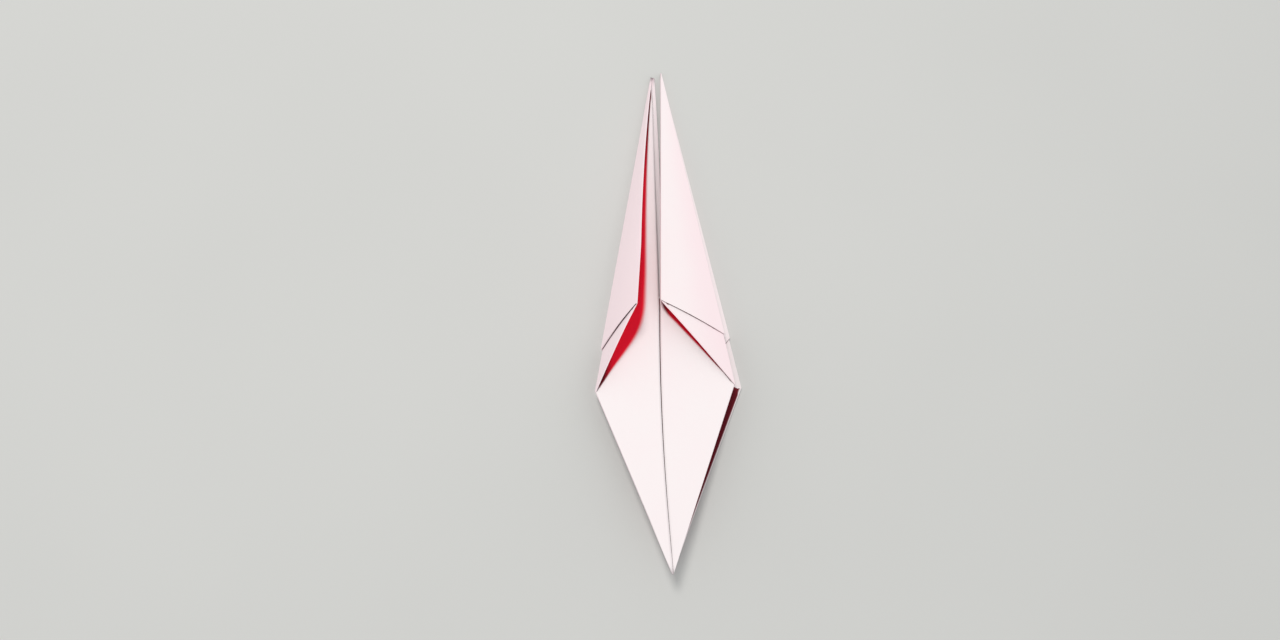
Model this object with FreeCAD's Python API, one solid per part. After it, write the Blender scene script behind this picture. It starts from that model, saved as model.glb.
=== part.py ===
import FreeCAD, Part
import math
import os

# Square of coloured paper folded to the stage before a crane's neck and tail are turned up.
# It lies on its back: legs towards +Y, wings towards -Y, front up, Z up.

# The sheet
sheet_side = 150.0
paper_thickness = 0.1
wing_half_angle = 21.6

# Pressing: room that the layers take
body_pitch = 0.28
hinge_pitch = 0.23
corner_pitch = 0.20
tip_pitch = 0.25
wrap_step = 0.30
tip_wrap = 0.20
slit_gap = 0.5
flap_gap = 0.5
tuck_in = 0.35

# Aim of the hand that folded it, seen from above
leg_spread = 0.95
left_leg_slip = 1.5
front_shift = -0.45
front_squeeze = 0.95
corner_pull = 2.0
wing_tip_turn = 0.6

# Spring of the paper: heights above the face that it lies on, and how far the flaps stand open
right_shoulder_height = 7.4
left_shoulder_height = 6.4
front_wing_tip_height = 13.5
back_wing_tip_height = 0.4
ridge_opening = 1.7
hinge_middle_height = 2.7
hinge_end_rise = 1.4
slit_hinge_rise = 0.8
right_flap_opening = 14.0
left_flap_opening = 64.0

RIGHT = 1
LEFT = -1
FRONT = 1
BACK = -1

# Layers of one half counted from the middle of the pack outwards: the panels as they lie,
# then the same panels where they are turned over along the narrowed leg
LAYERS = ["ridge", "web", "lining", "face", "face_flap", "lining_flap", "web_flap", "ridge_flap"]
TIP_LAYERS = ["ridge", "face", "face_flap", "ridge_flap"]
WRAP_OF = {"face": 0, "lining": 1, "web": 2, "ridge": 3}


def base_square():
    """Places of the crease points of one quarter on the folded plan, right side, leg tip at +Y."""
    wing = math.radians(wing_half_angle)
    leg = math.radians(45.0) - wing
    narrow = leg / 2.0
    leg_tip = FreeCAD.Vector(0.0, sheet_side / 2.0, 0.0)
    corner_reach = sheet_side * math.sin(wing) / math.sin(math.radians(135.0))
    shoulder_reach = sheet_side * math.sin(wing) / math.sin(wing + narrow)
    along = FreeCAD.Vector(math.sin(narrow), -math.cos(narrow), 0.0)
    corner = leg_tip + FreeCAD.Vector(math.sin(leg), -math.cos(leg), 0.0) * corner_reach
    centre = leg_tip + FreeCAD.Vector(0.0, -sheet_side / math.sqrt(2.0), 0.0)
    ridge_reach = crossing(leg_tip, along, centre, corner - centre)
    hinge_reach = (leg_tip.y - corner.y) / math.cos(narrow)
    return {
        "leg_tip": leg_tip,
        "wing_tip": FreeCAD.Vector(0.0, -sheet_side / 2.0, 0.0),
        "centre": centre,
        "hinge_middle": FreeCAD.Vector(0.0, corner.y, 0.0),
        "shoulder": leg_tip + along * shoulder_reach,
        "hinge_end": hinge_reach / shoulder_reach,
        "ridge_end": ridge_reach / shoulder_reach,
        "corner_along": corner_reach * math.cos(narrow) - corner_pull,
        "corner_across": corner_reach * math.sin(narrow),
    }


def crossing(start, direction, other_start, other_direction):
    """Distance along the first line at which it meets the second, in plan."""
    turn = direction.x * other_direction.y - direction.y * other_direction.x
    gap = other_start - start
    return (gap.x * other_direction.y - gap.y * other_direction.x) / turn


SQUARE = base_square()


def plan_point(name, side, half):
    """A crease point as the hand left it, seen from above."""
    if name in ("hinge_end", "ridge_end"):
        leg_tip = plan_point("leg_tip", side, half)
        return leg_tip + (plan_point("shoulder", side, half) - leg_tip) * SQUARE[name]
    point = FreeCAD.Vector(SQUARE[name])
    if name in ("wing_tip", "centre", "hinge_middle"):
        point.x = wing_tip_turn if name == "wing_tip" and half == FRONT else 0.0
        return point
    if name == "leg_tip":
        point.x = side * leg_spread
    elif half == FRONT:
        point.x = side * point.x * front_squeeze + front_shift
    else:
        point.x = side * point.x
    if side == LEFT:
        point.y -= left_leg_slip
    return point


def crease_direction(side, half):
    """Unit vectors in plan along the narrowing crease, away from the leg tip, and out of the leg."""
    along = plan_point("shoulder", side, half) - plan_point("leg_tip", side, half)
    along.normalize()
    outward = FreeCAD.Vector(-along.y, along.x, 0.0) * side
    return along, outward


def pitch_at(name):
    """Distance from one layer to the next at a crease point."""
    if name in ("hinge_middle", "hinge_end"):
        return hinge_pitch
    return {"leg_tip": tip_pitch, "corner": corner_pitch}.get(name, body_pitch)


def back_height(layer, name):
    """Height of the middle of a back layer, pressed flat on what the paper lies on."""
    order = TIP_LAYERS if name == "leg_tip" else LAYERS
    count = len(order) - 1 - order.index(layer)
    return paper_thickness / 2.0 + count * pitch_at(name)


def front_tip_height(layer):
    count = len(TIP_LAYERS) + TIP_LAYERS.index(layer)
    return paper_thickness / 2.0 + count * tip_pitch


def middle_height():
    """Height of the front ridge panel at the sheet's centre, next to the back one."""
    return back_height("ridge", "centre") + body_pitch


def shoulder_height(side):
    return right_shoulder_height if side == RIGHT else left_shoulder_height


def panel_height(layer, name, side, half):
    """Height of a main panel, one that isn't turned over, at one of its crease points."""
    if half == BACK:
        if name == "wing_tip":
            return back_wing_tip_height + (body_pitch if layer == "lining" else 0.0)
        return back_height(layer, name)
    if name == "leg_tip":
        return front_tip_height(layer)
    step = body_pitch * LAYERS.index(layer)
    if name == "centre":
        return middle_height() + step
    if name == "ridge_end":
        return middle_height() + ridge_opening + step
    if name == "hinge_middle":
        lift = slit_hinge_rise if layer == "face" else 0.0
        return hinge_middle_height + step - body_pitch + lift
    if name == "hinge_end":
        return hinge_middle_height + hinge_end_rise + step - body_pitch
    top = shoulder_height(side) if name == "shoulder" else front_wing_tip_height
    return top - (body_pitch if layer == "lining" else 0.0)


def flap_frame(side, half):
    """Leg tip, unit vector along the crease, unit vector across the flap and its outward normal."""
    tip = plan_point("leg_tip", side, half)
    shoulder = plan_point("shoulder", side, half)
    _, outward = crease_direction(side, half)
    if half == BACK:
        tip.z = back_height("face_flap", "leg_tip")
        shoulder.z = back_height("face_flap", "shoulder")
        opening = 0.0
    else:
        tip.z = front_tip_height("face_flap")
        shoulder.z = shoulder_height(side) + body_pitch
        opening = math.radians(right_flap_opening if side == RIGHT else left_flap_opening)
    along = shoulder - tip
    along.normalize()
    up = FreeCAD.Vector(0.0, 0.0, 1.0)
    across = outward * -math.cos(opening) + up * math.sin(opening)
    across = across - along * across.dot(along)
    across.normalize()
    normal = along.cross(across)
    if normal.z * half < 0:
        normal = -normal
    return tip, along, across, normal


def flap_corner(layer, name, side, half):
    """Place of a turned-over panel at one of its crease points."""
    tip, along, across, normal = flap_frame(side, half)
    order = TIP_LAYERS if name == "leg_tip" else LAYERS
    steps = order.index(layer) - order.index("face_flap")
    lift = normal * steps * pitch_at(name)
    if name == "corner":
        inner = tuck_in if layer in ("lining_flap", "web_flap") else 0.0
        edge = SQUARE["corner_across"] - inner
        if half == BACK:
            edge -= flap_gap
        place = tip + along * SQUARE["corner_along"] + across * edge
    else:
        place = plan_point(name, side, half)
        share = {"leg_tip": 0.0, "shoulder": 1.0}.get(name, SQUARE[name])
        place.z = tip.z + (shoulder_height(side) + body_pitch - tip.z) * share
    place = place + lift + wrap_offset(layer.replace("_flap", ""), name, side, half)
    if half == BACK:
        place.z = back_height(layer, name)
    return place


def wrap_offset(panel, name, side, half):
    """How far a fold stands out where it wraps round the folds inside it."""
    _, outward = crease_direction(side, half)
    if name == "leg_tip":
        return outward * (tip_wrap if panel == "ridge" else 0.0)
    if name in ("shoulder", "hinge_end", "ridge_end"):
        return outward * wrap_step * WRAP_OF[panel]
    return FreeCAD.Vector(0.0, 0.0, 0.0)


def corner_place(layer, name, side, half):
    """Middle of the paper at one corner of one panel."""
    if layer.endswith("_flap"):
        return flap_corner(layer, name, side, half)
    place = plan_point(name, side, half) + wrap_offset(layer, name, side, half)
    place.z = panel_height(layer, name, side, half)
    if layer == "face" and name in ("wing_tip", "hinge_middle"):
        place.x += side * slit_gap / 2.0
    if layer == "ridge" and name == "centre":
        place.x += side * slit_gap / 2.0
    return place


# Panels of the crease pattern: each one's corners in order round its coloured side
SIDE_PANELS = {
    "face": ["hinge_middle", "wing_tip", "shoulder", "leg_tip"],
    "face_flap": ["leg_tip", "shoulder", "corner"],
    "lining_flap": ["corner", "shoulder", "hinge_end"],
    "web_flap": ["corner", "hinge_end", "ridge_end"],
    "ridge_flap": ["corner", "ridge_end", "leg_tip"],
    "ridge": ["centre", "leg_tip", "ridge_end"],
}


def crease_point(name, side, half):
    """Name of a point of the flat sheet, which the panels round it share."""
    if name == "centre":
        return name
    if name == "leg_tip":
        return (name, side)
    if name in ("wing_tip", "hinge_middle"):
        return (name, half)
    return (name, side, half)


def raw_point(name, side, half):
    """The slit's two sides pass the hinge apart, as edges of the sheet."""
    return ("slit", side, half) if name == "hinge_middle" else crease_point(name, side, half)


def sheet_panels():
    """Every panel as a list of corners: its point of the sheet and its folded place."""
    panels = []
    for half in (FRONT, BACK):
        for side in (RIGHT, LEFT):
            for layer, names in SIDE_PANELS.items():
                point = raw_point if layer == "face" else crease_point
                corners = [
                    (point(name, side, half), corner_place(layer, name, side, half)) for name in names
                ]
                panels.append(first_kept(corners, side * half))
        panels.append(lining_panel(half))
        panels.append(web_panel(half))
    return panels


def lining_panel(half):
    """The panel under both halves of a wing: it crosses the middle line."""
    ring = [("hinge_middle", RIGHT), ("hinge_end", RIGHT), ("shoulder", RIGHT), ("wing_tip", RIGHT),
            ("shoulder", LEFT), ("hinge_end", LEFT)]
    corners = [(crease_point(n, s, half), corner_place("lining", n, s, half)) for n, s in ring]
    return first_kept(corners, half)


def web_panel(half):
    """The panel between the wings, from the hinge to the sheet's centre."""
    ring = [("hinge_middle", RIGHT), ("hinge_end", LEFT), ("ridge_end", LEFT), ("centre", RIGHT),
            ("ridge_end", RIGHT), ("hinge_end", RIGHT)]
    corners = [(crease_point(n, s, half), corner_place("web", n, s, half)) for n, s in ring]
    return first_kept(corners, half)


def first_kept(corners, facing):
    """Turns a ring of corners over where its panel is mirrored, with the same first corner."""
    return corners if facing > 0 else corners[:1] + corners[:0:-1]


def fan(corners):
    return [(corners[0], corners[i], corners[i + 1]) for i in range(1, len(corners) - 1)]


# How strictly the paper keeps its thickness on panels, along folds and where folds meet
PANEL_WEIGHT = 100.0
FOLD_WEIGHT = 1.0
END_WEIGHT = 1.0e-6
KEEP_NEAR = 1.0e-6
NO_AREA = 1.0e-9


class Sheet:
    """Middle surface of the folded paper, as triangles between numbered corners."""

    def __init__(self, panels):
        self.places = []
        self.triangles = []
        self.weights = {}
        self.raw_edges = []
        self.owner = {}
        for corners in panels:
            self.add_panel(corners)
        self.add_folds()
        self.add_fold_ends()

    def add_panel(self, corners):
        ring = list(range(len(self.places), len(self.places) + len(corners)))
        self.places.extend(place for _, place in corners)
        for i, (point, _) in enumerate(corners):
            following = (i + 1) % len(corners)
            self.owner[(point, corners[following][0])] = (ring[i], ring[following])
        self.add_triangles(fan(ring), PANEL_WEIGHT)

    def add_triangles(self, triangles, weight):
        self.triangles.extend(triangles)
        self.weights.update((triangle, weight) for triangle in triangles)

    def add_folds(self):
        """A strip closes each crease between its two panels. Edges with no partner are cut edges."""
        for (start, end), (first, second) in list(self.owner.items()):
            partner = self.owner.get((end, start))
            if partner is None:
                self.raw_edges.append((first, second))
                continue
            if str(start) < str(end):
                far_second, far_first = partner
                strip = [(second, first, far_first), (second, far_first, far_second)]
                self.add_triangles(strip, FOLD_WEIGHT)

    def add_fold_ends(self):
        """Where creases meet, a small face closes the ends of their strips."""
        arriving = {}
        for (start, end), (first, second) in self.owner.items():
            arriving.setdefault(end, {})[second] = (start, end)
        for point, corners in arriving.items():
            first = min(corners)
            loop = [first]
            while True:
                start, end = corners[loop[-1]]
                partner = self.owner.get((end, start))
                if partner is None or partner[0] == first:
                    break
                loop.append(partner[0])
            if partner is not None and len(loop) > 2:
                self.add_triangles(fan(loop), END_WEIGHT)

    def normal(self, triangle):
        a, b, c = (self.places[i] for i in triangle)
        normal = (b - a).cross(c - a)
        return normal.normalize() if normal.Length > NO_AREA else None


def half_thickness_vectors(sheet):
    """For each corner, the step from the paper's middle to its coloured side.

    It keeps every panel flat and at its full thickness, and mitres the folds between them.
    """
    planes = {i: [] for i in range(len(sheet.places))}
    for triangle in sheet.triangles:
        normal = sheet.normal(triangle)
        if normal is None:
            continue
        for i in triangle:
            planes[i].append((normal, 1.0, sheet.weights[triangle]))
    for first, second in sheet.raw_edges:
        along = (sheet.places[second] - sheet.places[first]).normalize()
        for i in (first, second):
            level = next(normal for normal, _, weight in planes[i] if weight == PANEL_WEIGHT)
            planes[i].append((along.cross(level).normalize(), 0.0, FOLD_WEIGHT))
    return [solve_offset(planes[i]) for i in range(len(sheet.places))]


def solve_offset(planes):
    """Step whose distance to each plane is half the paper, by weighted least squares."""
    rows = [[KEEP_NEAR if i == j else 0.0 for j in range(3)] for i in range(3)]
    right = FreeCAD.Vector(0.0, 0.0, 0.0)
    for normal, share, weight in planes:
        parts = (normal.x, normal.y, normal.z)
        for i in range(3):
            for j in range(3):
                rows[i][j] += weight * parts[i] * parts[j]
        right += normal * (weight * share * paper_thickness / 2.0)
    matrix = FreeCAD.Matrix(*rows[0], 0.0, *rows[1], 0.0, *rows[2], 0.0, 0.0, 0.0, 0.0, 1.0)
    return matrix.inverse().multVec(right)


def paper_solid(sheet):
    """Gives the middle surface its thickness: coloured side, plain side and the cut edge."""
    steps = half_thickness_vectors(sheet)
    coloured = [place + step for place, step in zip(sheet.places, steps)]
    plain = [place - step for place, step in zip(sheet.places, steps)]
    triangles = [[coloured[i] for i in triangle] for triangle in sheet.triangles]
    triangles += [[plain[i] for i in reversed(triangle)] for triangle in sheet.triangles]
    for first, second in cut_edges(sheet):
        triangles.append([coloured[second], coloured[first], plain[first]])
        triangles.append([coloured[second], plain[first], plain[second]])
    faces = []
    for a, b, c in triangles:
        if (b - a).cross(c - a).Length > NO_AREA:
            faces.append(Part.Face(Part.makePolygon([a, b, c, a])))
    shell = Part.makeShell(faces)
    shell.sewShape()
    solid = Part.makeSolid(shell)
    if solid.Volume < 0:
        solid.reverse()
    return solid


def cut_edges(sheet):
    """Edges of the triangles that only one triangle has: the cut edge of the sheet."""
    seen = {}
    for a, b, c in sheet.triangles:
        for edge in ((a, b), (b, c), (c, a)):
            seen[edge] = True
    return [edge for edge in seen if (edge[1], edge[0]) not in seen]


def centred_on_its_base(solid):
    """Origin in the middle of the box in plan, on the face that it lies on."""
    box = solid.BoundBox
    moved = solid.copy()
    moved.translate(FreeCAD.Vector(-box.Center.x, -box.Center.y, -box.ZMin))
    return moved


folded_sheet = centred_on_its_base(paper_solid(Sheet(sheet_panels())))

os.makedirs("parts", exist_ok=True)
folded_sheet.exportStep("parts/folded_sheet.step")
print("folded_sheet", folded_sheet.ShapeType, "valid", folded_sheet.isValid(), "faces", len(folded_sheet.Faces))
print("box", folded_sheet.BoundBox)
print("volume", folded_sheet.Volume, "sheet area by volume", folded_sheet.Volume / paper_thickness)
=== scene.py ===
import bpy
import bmesh
import math
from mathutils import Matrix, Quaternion, Vector
from mathutils.bvhtree import BVHTree


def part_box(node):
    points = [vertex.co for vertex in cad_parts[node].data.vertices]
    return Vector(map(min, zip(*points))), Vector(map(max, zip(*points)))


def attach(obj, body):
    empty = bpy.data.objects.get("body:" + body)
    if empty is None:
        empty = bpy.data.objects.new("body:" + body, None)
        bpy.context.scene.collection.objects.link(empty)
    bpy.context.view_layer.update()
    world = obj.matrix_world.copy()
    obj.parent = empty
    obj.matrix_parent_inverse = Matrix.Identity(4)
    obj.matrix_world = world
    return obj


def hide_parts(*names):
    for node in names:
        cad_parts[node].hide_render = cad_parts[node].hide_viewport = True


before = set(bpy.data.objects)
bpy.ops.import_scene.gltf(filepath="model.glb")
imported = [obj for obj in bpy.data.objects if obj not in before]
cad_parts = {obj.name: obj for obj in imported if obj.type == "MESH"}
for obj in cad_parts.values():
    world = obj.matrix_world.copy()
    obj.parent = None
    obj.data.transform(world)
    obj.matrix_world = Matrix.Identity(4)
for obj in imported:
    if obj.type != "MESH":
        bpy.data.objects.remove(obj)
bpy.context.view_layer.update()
mm = 0.001

# The photograph's view: from above, a little from the wings' end, with the camera turned slightly.
# Worked out for the 1280 by 640 picture from the sheet's own corners.
picture_width = 1280
focal_length_pixels = 1043.0
film_width = 36.0
camera_place = Vector((-19.1, -74.2, 295.1)) * mm
camera_target = Vector((-7.7, -2.9, 0.0)) * mm
camera_roll = math.radians(8.2)

bpy.ops.object.select_all(action="DESELECT")
bpy.ops.object.camera_add(location=camera_place)
camera = bpy.context.object
camera.name = "photograph_view"
camera.data.lens = film_width * focal_length_pixels / picture_width
camera.data.sensor_width = film_width
camera.data.clip_start = 0.01
camera.data.clip_end = 20.0
camera.rotation_mode = "QUATERNION"
aim = (camera_target - camera_place).to_track_quat("-Z", "Y")
camera.rotation_quaternion = aim @ Quaternion((0.0, 0.0, 1.0), camera_roll)
bpy.context.scene.camera = camera

# The floor: a wide sheet of pale, matt studio board under the paper.
# It isn't part of the object.
floor_size = 30.0
floor_hex = "D6D8D6"
floor_darker_hex = "D0D2D0"
unevenness_per_metre = 9.0


def linear(hex_colour):
    """Linear red, green, blue and alpha of an sRGB hex colour."""
    parts = [int(hex_colour[i:i + 2], 16) / 255.0 for i in (0, 2, 4)]
    parts = [p / 12.92 if p <= 0.04045 else ((p + 0.055) / 1.055) ** 2.4 for p in parts]
    return (*parts, 1.0)


def add_node(tree, kind, settings=None, inputs=None):
    """Adds one node. Settings are its properties. Each input is a value, the socket that feeds it, or
    the node whose first output in use feeds it."""
    node = tree.nodes.new(kind)
    for name, value in (settings or {}).items():
        setattr(node, name, value)
    for name, value in (inputs or {}).items():
        if isinstance(value, bpy.types.Node):
            value = next(socket for socket in value.outputs if socket.enabled)
        if isinstance(value, bpy.types.NodeSocket):
            tree.links.new(value, node.inputs[name])
        else:
            node.inputs[name].default_value = value
    return node


def start_tree(owner):
    """Gives a material or world an empty node tree."""
    owner.use_nodes = True
    owner.node_tree.nodes.clear()
    return owner.node_tree


bpy.ops.object.select_all(action="DESELECT")
bpy.ops.mesh.primitive_plane_add(size=floor_size, location=(0.0, 0.0, 0.0))
floor = bpy.context.object
floor.name = "studio_floor"

# Studio board: matt, very slightly uneven in tone, so that it doesn't look like a flat fill.
board = bpy.data.materials.new("studio_board")
tree = start_tree(board)
colour_mix = {"data_type": "RGBA"}
where = add_node(tree, "ShaderNodeTexCoord").outputs["Object"]
unevenness = add_node(
    tree, "ShaderNodeTexNoise", inputs={"Vector": where, "Scale": unevenness_per_metre, "Detail": 2.0}
)
tone = add_node(
    tree,
    "ShaderNodeMix",
    colour_mix,
    {"Factor": unevenness, "A": linear(floor_hex), "B": linear(floor_darker_hex)},
)
shader = add_node(tree, "ShaderNodeBsdfPrincipled", inputs={"Base Color": tone, "Roughness": 0.9})
add_node(tree, "ShaderNodeOutputMaterial", inputs={"Surface": shader})
floor.data.materials.append(board)

# Soft studio light: one large lamp above and behind on the left, where the photograph's light comes
# from, and an even pale surround that fills the shadows.
lamp_direction = Vector((-0.15, 0.27, 1.0)).normalized()
lamp_distance = 0.9
lamp_size = 0.2
lamp_power = 3.2
lamp_hex = "FFFAF6"
surround_strength = 0.62
backdrop_hex = "ACAEAC"

bpy.ops.object.light_add(type="AREA", location=lamp_direction * lamp_distance)
lamp = bpy.context.object
lamp.name = "soft_lamp"
lamp.data.shape = "DISK"
lamp.data.size = lamp_size
lamp.data.energy = lamp_power
lamp.data.color = linear(lamp_hex)[:3]
lamp.rotation_mode = "QUATERNION"
lamp.rotation_quaternion = (-lamp_direction).to_track_quat("-Z", "Y")

bpy.context.scene.view_settings.view_transform = "Standard"
world = bpy.data.worlds.new("pale_surround")
tree = start_tree(world)
surround = add_node(
    tree, "ShaderNodeBackground", inputs={"Color": linear("FFFFFF"), "Strength": surround_strength}
)
# Seen directly, the surround has the tone of the floor far from the lamp, so no horizon shows
backdrop = add_node(tree, "ShaderNodeBackground", inputs={"Color": linear(backdrop_hex)})
rays = add_node(tree, "ShaderNodeLightPath").outputs
seen = rays["Is Camera Ray"]
for kind in ("Is Glossy Ray", "Is Transmission Ray"):
    seen = add_node(tree, "ShaderNodeMath", {"operation": "ADD"}, {0: seen, 1: rays[kind]})
chosen = add_node(tree, "ShaderNodeMixShader", inputs={"Fac": seen, 1: surround, 2: backdrop})
add_node(tree, "ShaderNodeOutputWorld", inputs={"Surface": chosen})
bpy.context.scene.world = world

# The folded sheet: one square of pink folding paper, 150 mm on a side, folded by hand.
# It is made here as it is really made: a flat square is creased and each panel is carried to its
# folded place. The only things that hold it are its own creases.
sheet_side = 150.0
paper_thickness = 0.1
right, left = 1, -1
front, back = 1, -1
half_side = sheet_side / 2.0
half_diagonal = sheet_side / math.sqrt(2.0)
incircle = half_diagonal - half_side
narrowing = math.radians(11.25)


def flat_places():
    """Crease points of one quarter of the flat sheet, in millimetres from its centre."""
    tip_slope = math.tan(math.radians(22.5))
    along = (math.sin(narrowing), math.cos(narrowing))
    shoulder_reach = sheet_side * tip_slope / (along[0] + along[1] * tip_slope)
    from_wing_tip = along[0] * shoulder_reach / incircle
    ridge = half_diagonal / (along[0] + along[1]) * along[0]
    hinge = half_side * math.tan(narrowing)
    slit = half_diagonal / 2.0
    inward = math.sqrt(0.5) * hinge
    return {
        "centre": (0.0, 0.0),
        "leg_tip": (half_diagonal, 0.0),
        "wing_tip": (0.0, half_diagonal),
        "corner": (incircle, incircle),
        "slit_middle": (slit, slit),
        "slit_end": (slit - inward, slit - inward),
        "hinge_middle": (0.0, incircle),
        "hinge_end": (hinge, incircle),
        "ridge_end": (ridge, ridge),
        "shoulder": (
            incircle * from_wing_tip,
            half_diagonal + (incircle - half_diagonal) * from_wing_tip,
        ),
    }


flat = flat_places()


def flat_place(name, side, half):
    return Vector((flat[name][0] * side, flat[name][1] * half))


# Aim and spring of the folding, in millimetres and degrees, as they show in the photograph and close to
# the part's source. A pitch is the distance from one layer to the next.
wing_half_angle = 21.6
body_pitch = 0.17
hinge_pitch = 0.16
corner_pitch = 0.14
tip_pitch = 0.16
wrap_step = 0.14
tip_wrap = 0.14
slit_gap = 0.3
tip_gap = 0.06
flap_gap = 0.5
tuck_in = 0.35
leg_spread = 0.95
left_leg_slip = 1.5
front_shift = -0.45
front_squeeze = 0.95
back_stretch = 1.01
back_shift = 1.0
corner_pull = {right: 3.4, left: -0.9}
ridge_pull = {right: 2.4, left: 0.0}
slit_shift = -1.3
slit_bow = 1.0
shoulder_height = {right: 7.4, left: 6.4}
front_wing_tip_height = 13.5
back_wing_tip_height = 0.4
ridge_opening = 1.7
hinge_middle_height = 2.7
hinge_end_rise = 1.4
slit_hinge_rise = 0.8
flap_opening = {right: 10.0, left: 62.0}
tip_slip = {right: 0.0, left: -0.9}

layers = ["ridge", "web", "lining", "face", "face_flap", "lining_flap", "web_flap", "ridge_flap"]
tip_layers = ["ridge", "face", "face_flap", "ridge_flap"]
wraps = {"face": 0, "lining": 1, "web": 2, "ridge": 3}


def folded_plan():
    """Crease points of one quarter as they lie once folded, seen from above, leg tip at +Y."""
    wing = math.radians(wing_half_angle)
    leg = math.radians(45.0) - wing
    narrow = leg / 2.0
    leg_tip = Vector((0.0, half_side, 0.0))
    corner_reach = sheet_side * math.sin(wing) / math.sin(math.radians(135.0))
    shoulder_reach = sheet_side * math.sin(wing) / math.sin(wing + narrow)
    along = Vector((math.sin(narrow), -math.cos(narrow), 0.0))
    corner = leg_tip + Vector((math.sin(leg), -math.cos(leg), 0.0)) * corner_reach
    centre = leg_tip + Vector((0.0, -half_diagonal, 0.0))
    to_corner = corner - centre
    to_centre = centre - leg_tip
    turn = along.x * to_corner.y - along.y * to_corner.x
    ridge_reach = (to_centre.x * to_corner.y - to_centre.y * to_corner.x) / turn
    hinge_reach = (leg_tip.y - corner.y) / math.cos(narrow)
    return {
        "leg_tip": leg_tip,
        "wing_tip": Vector((0.0, -half_side, 0.0)),
        "centre": centre,
        "hinge_middle": Vector((0.0, corner.y, 0.0)),
        "shoulder": leg_tip + along * shoulder_reach,
        "hinge_end": hinge_reach / shoulder_reach,
        "ridge_end": ridge_reach / shoulder_reach,
        "along_crease": shoulder_reach,
        "corner_along": corner_reach * math.cos(narrow),
        "corner_across": corner_reach * math.sin(narrow),
    }


plan = folded_plan()

# How far points on the middle line stand to the right of it
middle_shift = {
    ("wing_tip", front): 0.0,
    ("wing_tip", back): 0.6,
    ("centre", front): 0.0,
    ("centre", back): 0.0,
    ("hinge_middle", front): 0.0,
    ("hinge_middle", back): 0.3,
}


def crease_share(name, side):
    """How far along the narrowed leg's crease a fold under it starts."""
    pull = ridge_pull[side] if name == "ridge_end" else 0.0
    return plan[name] - pull / plan["along_crease"]


def plan_place(name, side, half):
    """A crease point as the hand left it, seen from above."""
    if name in ("hinge_end", "ridge_end"):
        leg_tip = plan_place("leg_tip", side, half)
        return leg_tip + (plan_place("shoulder", side, half) - leg_tip) * crease_share(name, side)
    point = plan[name].copy()
    if name in ("wing_tip", "centre", "hinge_middle"):
        point.x = middle_shift[(name, half)]
        return point
    if name == "leg_tip":
        point.x = side * leg_spread
    elif half == front:
        point.x = side * point.x * front_squeeze + front_shift
    else:
        point.x = side * point.x * back_stretch + back_shift
    if side == left:
        point.y -= left_leg_slip
    return point


def crease_outward(side, half):
    """Direction in plan square to the narrowed leg's crease, out of the leg."""
    along = (plan_place("shoulder", side, half) - plan_place("leg_tip", side, half)).normalized()
    return Vector((-along.y, along.x, 0.0)) * side


def pitch_at(name):
    """Distance between layers near a crease point."""
    if name in ("hinge_middle", "hinge_end"):
        return hinge_pitch
    return {"leg_tip": tip_pitch, "corner": corner_pitch}.get(name, body_pitch)


def back_height(layer, name):
    """Height of a layer of the back half, pressed flat on what the paper lies on."""
    order = tip_layers if name == "leg_tip" else layers
    return paper_thickness / 2.0 + (len(order) - 1 - order.index(layer)) * pitch_at(name)


def front_tip_height(layer):
    """Height of a layer of the front half at a leg's tip, on top of the back half's layers."""
    return paper_thickness / 2.0 + (len(tip_layers) + tip_layers.index(layer)) * tip_pitch


def panel_height(layer, name, side, half):
    """Height of a panel that isn't turned over, at one of its crease points."""
    if half == back:
        if name == "wing_tip":
            return back_wing_tip_height + (body_pitch if layer == "lining" else 0.0)
        return back_height(layer, name)
    if name == "leg_tip":
        return front_tip_height(layer)
    step = body_pitch * layers.index(layer)
    middle = back_height("ridge", "centre") + body_pitch
    if name == "centre":
        return middle + step
    if name == "ridge_end":
        return middle + ridge_opening + step
    if name == "hinge_middle":
        return hinge_middle_height + step - body_pitch + (slit_hinge_rise if layer == "face" else 0.0)
    if name == "hinge_end":
        return hinge_middle_height + hinge_end_rise + step - body_pitch
    top = shoulder_height[side] if name == "shoulder" else front_wing_tip_height
    return top - (body_pitch if layer == "lining" else 0.0)


def flap_frame(side, half):
    """Leg tip, direction along the crease, direction across the flap, and its outward normal."""
    tip = plan_place("leg_tip", side, half)
    shoulder = plan_place("shoulder", side, half)
    if half == back:
        tip.z = back_height("face_flap", "leg_tip")
        shoulder.z = back_height("face_flap", "shoulder")
        opening = 0.0
    else:
        tip.z = front_tip_height("face_flap")
        shoulder.z = shoulder_height[side] + body_pitch
        opening = math.radians(flap_opening[side])
    along = (shoulder - tip).normalized()
    across = crease_outward(side, half) * -math.cos(opening)
    across += Vector((0.0, 0.0, math.sin(opening)))
    across = (across - along * across.dot(along)).normalized()
    normal = along.cross(across)
    if normal.z * half < 0.0:
        normal = -normal
    return tip, along, across, normal


def wrap_offset(panel, name, side, half):
    """How far a fold stands out where it wraps round the folds inside it."""
    if name == "leg_tip":
        return crease_outward(side, half) * (tip_wrap if panel == "ridge" else 0.0)
    if name in ("shoulder", "hinge_end", "ridge_end"):
        return crease_outward(side, half) * wrap_step * wraps[panel]
    return Vector((0.0, 0.0, 0.0))


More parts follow.
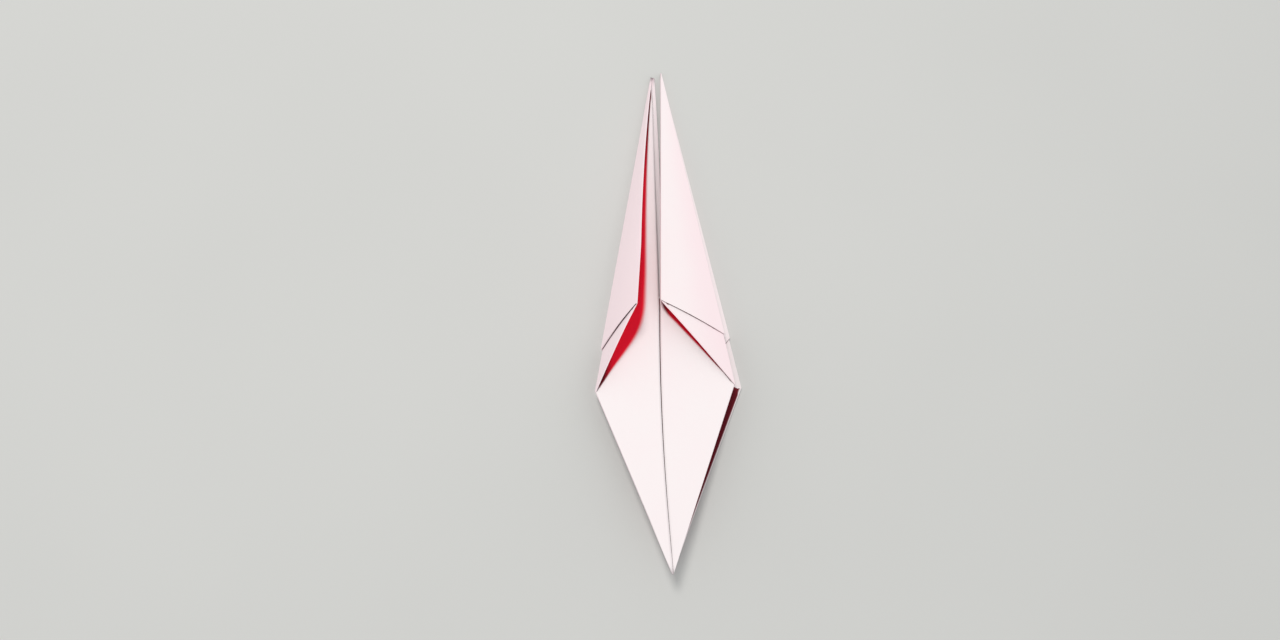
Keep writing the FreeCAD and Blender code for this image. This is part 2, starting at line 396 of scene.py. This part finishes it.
def flap_place(layer, name, side, half):
    """Folded place of a crease point on a panel that is turned over along the narrowed leg."""
    tip, along, across, normal = flap_frame(side, half)
    order = tip_layers if name == "leg_tip" else layers
    steps = order.index(layer) - order.index("face_flap")
    if name == "corner":
        inner = tuck_in if layer in ("lining_flap", "web_flap") else 0.0
        edge = plan["corner_across"] - inner - (flap_gap if half == back else 0.0)
        pull = corner_pull[side] if half == front else corner_pull[right]
        place = tip + along * (plan["corner_along"] - pull) + across * edge
    else:
        place = plan_place(name, side, half)
        ends = {"leg_tip": 0.0, "shoulder": 1.0}
        share = ends[name] if name in ends else crease_share(name, side)
        place.z = tip.z + (shoulder_height[side] + body_pitch - tip.z) * share
    place = place + normal * steps * pitch_at(name)
    place = place + wrap_offset(layer.replace("_flap", ""), name, side, half)
    if half == back:
        place.z = back_height(layer, name)
    elif name == "leg_tip":
        place.x += tip_slip[side]
    return place


def folded_place(layer, name, side, half):
    """Folded place of one crease point of one panel, middle of the paper."""
    if layer.endswith("_flap"):
        return flap_place(layer, name, side, half)
    place = plan_place(name, side, half) + wrap_offset(layer, name, side, half)
    place.z = panel_height(layer, name, side, half)
    if layer == "face" and name == "leg_tip" and half == front:
        place.x += tip_slip[side]
    if layer == "face" and name == "wing_tip":
        place.x += side * tip_gap / 2.0
    if layer == "face" and name == "hinge_middle":
        place.x += side * slit_gap / 2.0 + (slit_shift if half == front else 0.0)
    if layer == "ridge" and name == "centre":
        place.x += side * slit_gap / 2.0
    return place


# The plain square, turned so that its diagonals lie along X and Y, and the creases of one quarter.
# Each crease crosses one facet, from one crease point to another.
quarter_creases = [
    ("corner", "slit_middle"),
    ("corner", "hinge_middle"),
    ("leg_tip", "slit_end"),
    ("slit_end", "shoulder"),
    ("shoulder", "hinge_end"),
    ("hinge_end", "ridge_end"),
    ("ridge_end", "leg_tip"),
    ("slit_middle", "shoulder"),
    ("hinge_middle", "shoulder"),
    ("hinge_middle", "ridge_end"),
]
# Facets of each panel: corners on the flat sheet, and what the same corner is called when folded
panel_facets = {
    "face": [("slit_middle", "wing_tip", "shoulder"), ("slit_middle", "shoulder", "leg_tip")],
    "face_flap": [("leg_tip", "shoulder", "corner")],
    "lining_flap": [("corner", "shoulder", "hinge_end")],
    "web_flap": [("corner", "hinge_end", "ridge_end")],
    "ridge_flap": [("corner", "ridge_end", "leg_tip")],
    "ridge": [("centre", "leg_tip", "ridge_end")],
    "lining": [("hinge_middle", "hinge_end", "shoulder"), ("hinge_middle", "shoulder", "wing_tip")],
    "web": [("hinge_middle", "centre", "ridge_end"), ("hinge_middle", "ridge_end", "hinge_end")],
}
folded_name = {"slit_middle": "hinge_middle"}
facet_cuts = 23
quarters = [(side, half) for half in (front, back) for side in (right, left)]

bpy.ops.object.select_all(action="DESELECT")
bpy.ops.mesh.primitive_plane_add(size=sheet_side, location=(0.0, 0.0, 0.0))
flat_sheet = bpy.context.object
flat_sheet.name = "flat_sheet"
bpy.ops.object.mode_set(mode="EDIT")
bpy.ops.mesh.select_all(action="SELECT")
bpy.ops.transform.rotate(value=math.radians(45.0), orient_axis="Z", center_override=(0.0, 0.0, 0.0))
for across in ((1.0, 0.0, 0.0), (0.0, 1.0, 0.0)):
    bpy.ops.mesh.select_all(action="SELECT")
    bpy.ops.mesh.bisect(plane_co=(0.0, 0.0, 0.0), plane_no=across, threshold=0.001)
bpy.ops.mesh.select_all(action="SELECT")
bpy.ops.mesh.poke(center_mode="MEDIAN")
bpy.ops.mesh.select_all(action="DESELECT")
shape = bmesh.from_edit_mesh(flat_sheet.data)
for vertex in shape.verts:
    if abs(vertex.co.x) > 1.0 and abs(vertex.co.y) > 1.0:
        vertex.select_set(True)
bmesh.update_edit_mesh(flat_sheet.data)
poked = half_diagonal / 3.0
bpy.ops.transform.resize(value=(incircle / poked,) * 3, center_override=(0.0, 0.0, 0.0))


def inside(point, corners):
    """Whether a point of the flat sheet lies in a facet with these corners."""
    turns = []
    for i, start in enumerate(corners):
        edge = corners[(i + 1) % len(corners)] - start
        step = point - start
        turns.append(edge.x * step.y - edge.y * step.x)
    return min(turns) > 0.0 or max(turns) < 0.0


def crease(start, end):
    """Creases the flat sheet from one point to another, across the one facet between them."""
    middle = (start + end) / 2.0
    bpy.ops.mesh.select_all(action="DESELECT")
    shape = bmesh.from_edit_mesh(flat_sheet.data)
    next(f for f in shape.faces if inside(middle, [v.co.xy for v in f.verts])).select_set(True)
    bmesh.update_edit_mesh(flat_sheet.data)
    step = (end - start).normalized()
    bpy.ops.mesh.bisect(
        plane_co=(middle.x, middle.y, 0.0), plane_no=(step.y, -step.x, 0.0), threshold=0.01
    )


for side, half in quarters:
    for start, end in quarter_creases:
        crease(flat_place(start, side, half), flat_place(end, side, half))
bpy.ops.object.mode_set(mode="OBJECT")

# Every facet is numbered and then divided evenly, so that its panel can bend
facets = []
for side, half in quarters:
    for panel, triangles in panel_facets.items():
        shared = panel in ("lining", "web")
        for names in triangles:
            facets.append(
                {
                    "panel": (panel, 0 if shared else side, half),
                    "corners": names,
                    "flat": [flat_place(n, side, half) for n in names],
                    "folded": [folded_place(panel, folded_name.get(n, n), side, half) for n in names],
                }
            )
shape = bmesh.new()
shape.from_mesh(flat_sheet.data)
number = shape.faces.layers.int.new("facet")
for face in shape.faces:
    middle = face.calc_center_median().xy
    face[number] = next(i for i, facet in enumerate(facets) if inside(middle, facet["flat"]))
shape.to_mesh(flat_sheet.data)
shape.free()
bpy.ops.object.mode_set(mode="EDIT")
bpy.ops.mesh.select_all(action="SELECT")
bpy.ops.mesh.subdivide(number_cuts=facet_cuts)
bpy.ops.object.mode_set(mode="OBJECT")


def shares(point, corners):
    """How much of each corner makes up a point of a three-cornered facet."""
    a, b, c = corners
    area = (b - a).cross(c - a)
    share_b = (point - a).cross(c - a) / area
    share_c = (b - a).cross(point - a) / area
    return 1.0 - share_b - share_c, share_b, share_c


# Spring of each panel away from flat, in millimetres, and how far along or across the panel it is spread
flap_bulge = {right: 0.9, left: 0.5}
flap_bulge_spread = 1.25
left_edge_bow = 0.6
left_edge_bow_spread = 1.3
inner_ridge_bow = 0.8
inner_ridge_bow_spread = 1.2
inner_ridge_bow_reach = 3.0
slit_bow_reach = 18.0


def swell(share):
    """Nought at both ends of a length and one in its middle."""
    return 4.0 * share * (1.0 - share)


def carried(point, facet):
    """Folded place of a point of the flat sheet, with the spring of its panel."""
    parts = shares(point, facet["flat"])
    place = sum((corner * part for corner, part in zip(facet["folded"], parts)), Vector((0.0, 0.0, 0.0)))
    panel, side, half = facet["panel"]
    if half == back:
        return place
    if panel.endswith("_flap"):
        tip, along, across, normal = flap_frame(side, half)
        reach = (place - tip).dot(along)
        width = max(reach, 0.01) * math.tan(narrowing)
        over = min(max((place - tip).dot(across) / width, 0.0), 1.0)
        share = min(reach / plan["corner_along"], 1.0)
        place = place + normal * flap_bulge[side] * swell(over / flap_bulge_spread) * share
        if side == left:
            place.x -= left_edge_bow * swell(min(share * left_edge_bow_spread, 1.0)) * over
    if panel in ("face", "lining") and place.y < 0.0:
        down = min(-place.y / half_side, 1.0)
        near = max(1.0 - abs(place.x - slit_shift) / (slit_bow_reach * (1.0 - down) + 1.0), 0.0)
        place.x -= slit_bow * swell(down) * near
    if panel == "ridge" and side == left:
        down = min(max((half_side - place.y) / half_side, 0.0), 1.0)
        near = max(1.0 - abs(place.x) / inner_ridge_bow_reach, 0.0)
        place.x += inner_ridge_bow * swell(min(down * inner_ridge_bow_spread, 1.0)) * near
    return place


# Folding: each panel gets its own points at their folded places, a narrow strip closes each
# crease, and a small cap closes each place where creases meet
source = bmesh.new()
source.from_mesh(flat_sheet.data)
number = source.faces.layers.int["facet"]
folded = bmesh.new()
uv = folded.loops.layers.uv.new("flat_sheet")
points = {}
flat_of = {}


def folded_point(vertex, face):
    """The folded sheet's own point for a point of the flat sheet, on the panel of this face."""
    facet = facets[face[number]]
    key = (vertex.index, facet["panel"])
    if key not in points:
        points[key] = folded.verts.new(carried(vertex.co.xy, facet) * mm)
        flat_of[points[key]] = vertex.co.xy / sheet_side
    return points[key]


def add_face(corners):
    """Adds a face with its place on the flat sheet, unless it is there already."""
    try:
        face = folded.faces.new(corners)
    except ValueError:
        return
    for loop in face.loops:
        loop[uv].uv = flat_of[loop.vert]


# Round each crease point, the strips' ends are followed to find the cap's outline
following = {}
for face in source.faces:
    add_face([folded_point(v, face) for v in face.verts])
for edge in source.edges:
    if len(edge.link_faces) != 2:
        continue
    first, second = edge.link_faces
    if facets[first[number]]["panel"] == facets[second[number]]["panel"]:
        continue
    loop = next(l for l in first.loops if l.edge == edge)
    a, b = loop.vert, loop.link_loop_next.vert
    a1, b1 = folded_point(a, first), folded_point(b, first)
    a2, b2 = folded_point(a, second), folded_point(b, second)
    add_face([b1, a1, a2, b2])
    following.setdefault(a.index, {})[a2] = a1
    following.setdefault(b.index, {})[b1] = b2
for links in following.values():
    start = next(iter(links))
    ring = [start]
    while links.get(ring[-1], start) is not start:
        ring.append(links[ring[-1]])
    if len(ring) > 2 and links.get(ring[-1]) is start:
        add_face(ring)
source.free()

folded.verts.index_update()


def panel_borders(panel):
    """Lines of the flat sheet that go round a panel."""
    lines = []
    for facet in facets:
        if facet["panel"] == panel:
            corners = facet["flat"]
            lines += [(corners[i], corners[(i + 1) % 3]) for i in range(3)]
    middles = [((a + b) / 2.0).to_tuple(2) for a, b in lines]
    return [line for line, middle in zip(lines, middles) if middles.count(middle) == 1]


def distance_to(point, line):
    """Distance on the flat sheet from a point to a line between two others."""
    start, end = line
    along = end - start
    share = min(max((point - start).dot(along) / along.length_squared, 0.0), 1.0)
    return (point - start - along * share).length


def on_wing(point):
    """Whether a point of the flat sheet lies on a wing's lining, with the lining's edges counted in."""
    for part in wing_parts:
        middle = (part[0] + part[1] + part[2]) / 3.0
        if inside(point.lerp(middle, 0.01), part):
            return True
    return False


# Each point keeps its distance to its panel's nearest crease, and how its place alters the crimson painted
# shade: more between the wings, and none in the pressed back half or along the inner ridges
painted_shade_between_wings = 0.3
no_painted_shade_when_pressed = -10.0
borders = {facet["panel"]: panel_borders(facet["panel"]) for facet in facets}
wing_parts = [f["flat"] for f in facets if f["panel"][0] == "lining" and "wing_tip" in f["corners"]]
crease_distance = {}
painted_shade_offset = {}
for (_, panel), point in points.items():
    at = flat_of[point] * sheet_side
    crease_distance[point.index] = min(distance_to(at, line) for line in borders[panel])
    if panel[0] == "lining" and on_wing(at):
        painted_shade_offset[point.index] = painted_shade_between_wings
    else:
        painted_shade_offset[point.index] = no_painted_shade_when_pressed if panel[0] == "ridge" or panel[2] == back else 0.0

# The folded sheet is centred where the part's own sheet is, and rests on the same plane
low = Vector([min(v.co[i] for v in folded.verts) for i in range(3)])
high = Vector([max(v.co[i] for v in folded.verts) for i in range(3)])
cad_low, cad_high = (Vector(c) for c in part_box("folded_sheet"))
shift = (cad_low + cad_high - low - high) / 2.0
for vertex in folded.verts:
    vertex.co += Vector((shift.x, shift.y, 0.0))

bpy.ops.object.select_all(action="DESELECT")
paper_mesh = bpy.data.meshes.new("folded_paper")
folded.to_mesh(paper_mesh)
folded.free()
paper = bpy.data.objects.new("folded_paper", paper_mesh)
bpy.context.scene.collection.objects.link(paper)
bpy.data.objects.remove(flat_sheet)

# Each panel's middle is eased between its own edges, as springy paper bends, and its creases stay put.
# A face that closes a crease is thin: two of its corners share one place on the flat sheet.
ease_factor = 0.5
ease_rounds = 60
same_place = 1e-7
easing = paper.vertex_groups.new(name="panel_middles")
edge_uses = {}
for polygon in paper_mesh.polygons:
    for key in polygon.edge_keys:
        edge_uses.setdefault(key, []).append(polygon.index)
held = set()
thin_faces = set()
flat_uv = paper_mesh.uv_layers["flat_sheet"].data
for polygon in paper_mesh.polygons:
    spread = [flat_uv[i].uv for i in polygon.loop_indices]
    if min((a - b).length for a, b in zip(spread, spread[1:] + spread[:1])) < same_place:
        thin_faces.add(polygon.index)
        held.update(polygon.vertices)
for key, users in edge_uses.items():
    if len(users) == 1:
        held.update(key)
easing.add([v.index for v in paper_mesh.vertices if v.index not in held], 1.0, "REPLACE")
ease = paper.modifiers.new("ease", "SMOOTH")
ease.factor = ease_factor
ease.iterations = ease_rounds
ease.vertex_group = "panel_middles"
bpy.context.view_layer.objects.active = paper
bpy.ops.object.modifier_apply(modifier="ease")
paper.vertex_groups.clear()

# Shelter: how much of the open air in front of each point other parts of the sheet take up, and
# shade: how much of the light from above and behind they take. Both steer the painted shade in the
# paper's colour: crimson, standing for light that bounces off pink paper again and again in a fold.
open_rays = 56
lamp_rays = 40
lamp_spread = 0.45
ray_reach = 50.0 * mm
ray_lift = 0.06 * mm
near_reach = 6.0 * mm
thin_face_weight = 0.001
evening_rounds = 2


def shelter_directions(count):
    """Directions spread over a half sphere round +Z, more of them near its middle."""
    golden = math.pi * (3.0 - math.sqrt(5.0))
    directions = []
    for i in range(count):
        distance = math.sqrt((i + 0.5) / count)
        across = (distance * math.cos(i * golden), distance * math.sin(i * golden))
        directions.append(Vector((*across, math.sqrt(1.0 - distance**2))))
    return directions


def across_a_fold(polygon):
    """Whether a face closes a crease or the cut edge, and isn't part of a panel."""
    return polygon.index >= 2 * side_faces or polygon.index % side_faces in thin_faces


def evened(mesh, values):
    """Each point's value averaged with its neighbours' on the same panel."""
    neighbours = [[i] for i in range(len(values))]
    for polygon in mesh.polygons:
        if not across_a_fold(polygon):
            for a, b in polygon.edge_keys:
                neighbours[a].append(b)
                neighbours[b].append(a)
    for _ in range(evening_rounds):
        values = [sum(values[j] for j in near) / len(near) for near in neighbours]
    return values


def store(mesh, name, values):
    """Keeps one number for each point of the paper, which its material reads by this name."""
    level = mesh.attributes.new(name, "FLOAT", "POINT")
    level.data.foreach_set("value", values)


def measure_shelter(mesh):
    """Measures how the rest of the sheet shelters and shades each point of it, on each of its sides."""
    tree = BVHTree.FromPolygons([v.co for v in mesh.vertices], [list(p.vertices) for p in mesh.polygons])
    half_sphere = shelter_directions(open_rays)
    to_lamp = lamp_direction.to_track_quat("Z", "Y")
    lamp_cone = []
    for d in shelter_directions(lamp_rays):
        x, y = d.x * lamp_spread, d.y * lamp_spread
        lamp_cone.append(to_lamp @ Vector((x, y, math.sqrt(1.0 - x**2 - y**2))))
    facing = [Vector((0.0, 0.0, 0.0)) for _ in mesh.vertices]
    for polygon in mesh.polygons:
        for i in polygon.vertices:
            facing[i] += polygon.normal * (thin_face_weight if across_a_fold(polygon) else 1.0)
    measures = {"shelter": [], "closeness": [], "shade": [], "lean": [], "upward": []}
    for vertex in mesh.vertices:
        normal = facing[vertex.index].normalized()
        turn = normal.to_track_quat("Z", "Y")
        start = vertex.co + normal * ray_lift
        distances = [tree.ray_cast(start, turn @ d, ray_reach)[3] for d in half_sphere]
        distances = [d for d in distances if d is not None]
        close = sum(max(0.0, 1.0 - d / near_reach) for d in distances)
        blocked = sum(
            normal.dot(d) < 0.0 or tree.ray_cast(start, d, ray_reach)[0] is not None for d in lamp_cone
        )
        measures["shelter"].append(len(distances) / open_rays)
        measures["closeness"].append(close / open_rays)
        measures["shade"].append(blocked / lamp_rays)
        measures["lean"].append(max(0.0, 1.0 - normal.dot(lamp_direction)))
        measures["upward"].append(max(0.0, normal.z))
    for name, values in measures.items():
        store(mesh, name, evened(mesh, values))


smooth_up_to = 35.0
order = range(len(paper_mesh.vertices))
store(paper_mesh, "crease_distance", [crease_distance[i] for i in order])
store(paper_mesh, "painted_shade_offset", [painted_shade_offset[i] for i in order])

bpy.ops.object.select_all(action="DESELECT")
paper.select_set(True)
bpy.context.view_layer.objects.active = paper
bpy.ops.object.shade_smooth_by_angle(angle=math.radians(smooth_up_to))
thickness = paper.modifiers.new("thickness", "SOLIDIFY")
thickness.thickness = paper_thickness * mm
thickness.offset = 0.0
thickness.use_even_offset = False
side_faces = len(paper_mesh.polygons)
bpy.ops.object.modifier_apply(modifier="thickness")
measure_shelter(paper_mesh)

# Folding paper: thin, smooth, uncoated, dyed pink on the side that shows and taken to be so on the other.
# It gives the eye a matt, nearly white pink in the open; the rest is painted shade: a fuller pink turned
# from the lamp, a bright crimson where light only comes through or off other paper, maroon deeper in a
# fold, and a fine brown contact shadow where one layer lies on another.
open_pink = "FBF6F7"
# Painted shade and fibre tone: a fuller pink for paper turned from the lamp, and for its longer fibres
turned_pink = "FFECF1"
# Painted shade: crimson where other paper blocks the lamp
painted_shade_crimson = "FF0030"
# Painted shade: maroon deeper in a fold
painted_deep_shade_maroon = "6E0019"
# Painted contact shadow: a fine brown line where one layer lies close on another
painted_contact_shadow_brown = "4A1C28"
contact_shadow_reach = 0.9 * mm
cloud_size = 14.0
# Fibres are about 0.02 mm thick and the paper's tooth is as fine: both are drawn much coarser, to show
fibre_size = 0.9
tooth_size = 0.25
grain_depth = 0.02 * mm

paper_material = bpy.data.materials.new("folding_paper_with_painted_shade")
tree = start_tree(paper_material)
flat_map = add_node(tree, "ShaderNodeUVMap", {"uv_map": "flat_sheet"})
in_millimetres = add_node(
    tree, "ShaderNodeMapping", inputs={"Vector": flat_map, "Scale": (sheet_side, sheet_side, sheet_side)}
)
patterns = {}
for name, size, detail, distortion in (
    ("clouds", cloud_size, 3.0, 0.0),
    ("fibres", fibre_size, 4.0, 1.2),
    ("tooth", tooth_size, 2.0, 0.0),
):
    patterns[name] = add_node(
        tree,
        "ShaderNodeTexNoise",
        inputs={"Vector": in_millimetres, "Scale": 1.0 / size, "Detail": detail, "Distortion": distortion},
    ).outputs["Fac"]
measured = {}
for name in ("shelter", "closeness", "shade", "lean", "upward", "crease_distance", "painted_shade_offset"):
    measured[name] = add_node(tree, "ShaderNodeAttribute", {"attribute_name": name}).outputs["Fac"]
# Painted contact shadow: occlusion within a millimetre turns the colour brown
contact_occlusion = add_node(
    tree,
    "ShaderNodeAmbientOcclusion",
    {"samples": 8, "only_local": True},
    {"Distance": contact_shadow_reach},
).outputs["AO"]

calculation = "ShaderNodeMath"
plus, times, larger = ({"operation": name} for name in ("ADD", "MULTIPLY", "MAXIMUM"))
# Painted shade: the share of lamp light blocked, with each place's offset
shade_here = add_node(tree, calculation, plus, {0: measured["shade"], 1: measured["painted_shade_offset"]})
# Smooth steps from nought to one, between two values of what was measured
steps = {}
for name, value, low, high in (
    ("turned_away", measured["lean"], 0.03, 0.14),
    ("long_fibres", patterns["fibres"], 0.55, 0.8),
    ("shaded", shade_here, 0.43, 0.57),
    ("sheltered", measured["shelter"], 0.06, 0.24),
    ("well_sheltered", measured["shelter"], 0.55, 0.95),
    ("facing_up", measured["upward"], 0.1, 0.6),
    ("off_the_crease", measured["crease_distance"], 0.1, 0.45),
    ("near_the_crease", measured["crease_distance"], 3.6, 1.0),
    ("close_under_paper", measured["closeness"], 0.15, 0.45),
    ("between_wings", measured["painted_shade_offset"], 0.0, painted_shade_between_wings),
    # painted contact shadow where the occlusion is strong
    ("painted_contact_shadow", contact_occlusion, 0.82, 0.42),
):
    steps[name] = add_node(
        tree,
        "ShaderNodeMapRange",
        {"interpolation_type": "SMOOTHSTEP"},
        {"Value": value, "From Min": low, "From Max": high},
    )

# Pink: fuller as painted shade where the paper turns from the lamp, and as its own tone in soft clouds and
# along its longer fibres
clouded = add_node(tree, calculation, times, {0: patterns["clouds"], 1: 0.35})
turned = add_node(tree, calculation, plus, {0: steps["turned_away"], 1: clouded})
fibre_tint = add_node(tree, calculation, times, {0: steps["long_fibres"], 1: 0.25})
# Crimson painted shade: in the shade of other paper on what faces up, and far under other paper on what
# doesn't
painted_cast_shade_share = add_node(tree, calculation, times, {0: steps["shaded"], 1: steps["sheltered"]})
painted_crimson_share = add_node(
    tree,
    "ShaderNodeMix",
    inputs={"Factor": steps["facing_up"], "A": steps["well_sheltered"], "B": painted_cast_shade_share},
)
painted_crimson_share = add_node(tree, calculation, times, {0: painted_crimson_share, 1: steps["off_the_crease"]})
# Maroon painted deeper shade: near a crease, close under other paper, and between the wings
painted_deep_shade_share = add_node(tree, calculation, larger, {0: steps["close_under_paper"], 1: steps["near_the_crease"]})
painted_deep_shade_share = add_node(tree, calculation, larger, {0: painted_deep_shade_share, 1: steps["between_wings"]})

# Painted shade colour: crimson, turning maroon deeper in
painted_fold_shade = add_node(
    tree, "ShaderNodeMix", colour_mix, {"Factor": painted_deep_shade_share, "A": linear(painted_shade_crimson), "B": linear(painted_deep_shade_maroon)}
)
# The paper's colour: open pink, then painted shade with fibre tone, crimson and maroon painted shade, and
# the brown painted contact shadow
paper_colour_with_painted_shade = linear(open_pink)
for factor, over in (
    (turned, linear(turned_pink)),
    (fibre_tint, linear(turned_pink)),
    (painted_crimson_share, painted_fold_shade),
    (steps["painted_contact_shadow"], linear(painted_contact_shadow_brown)),
):
    paper_colour_with_painted_shade = add_node(tree, "ShaderNodeMix", colour_mix, {"Factor": factor, "A": paper_colour_with_painted_shade, "B": over})

tooth_height = add_node(tree, calculation, times, {0: patterns["tooth"], 1: 0.6})
height = add_node(tree, calculation, plus, {0: patterns["fibres"], 1: tooth_height})
grain = add_node(
    tree, "ShaderNodeBump", inputs={"Strength": 0.12, "Distance": grain_depth, "Height": height}
)
sheen_change = add_node(tree, calculation, times, {0: patterns["fibres"], 1: 0.12})
roughness = add_node(tree, calculation, plus, {0: sheen_change, 1: 0.68})
shader = add_node(
    tree,
    "ShaderNodeBsdfPrincipled",
    inputs={
        "Base Color": paper_colour_with_painted_shade,
        "Roughness": roughness,
        "IOR": 1.5,
        "Specular IOR Level": 0.3,
        "Sheen Weight": 0.05,
        "Sheen Roughness": 0.5,
        "Normal": grain,
    },
)
add_node(tree, "ShaderNodeOutputMaterial", inputs={"Surface": shader})
paper_mesh.materials.append(paper_material)

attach(paper, "root")
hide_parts("folded_sheet")
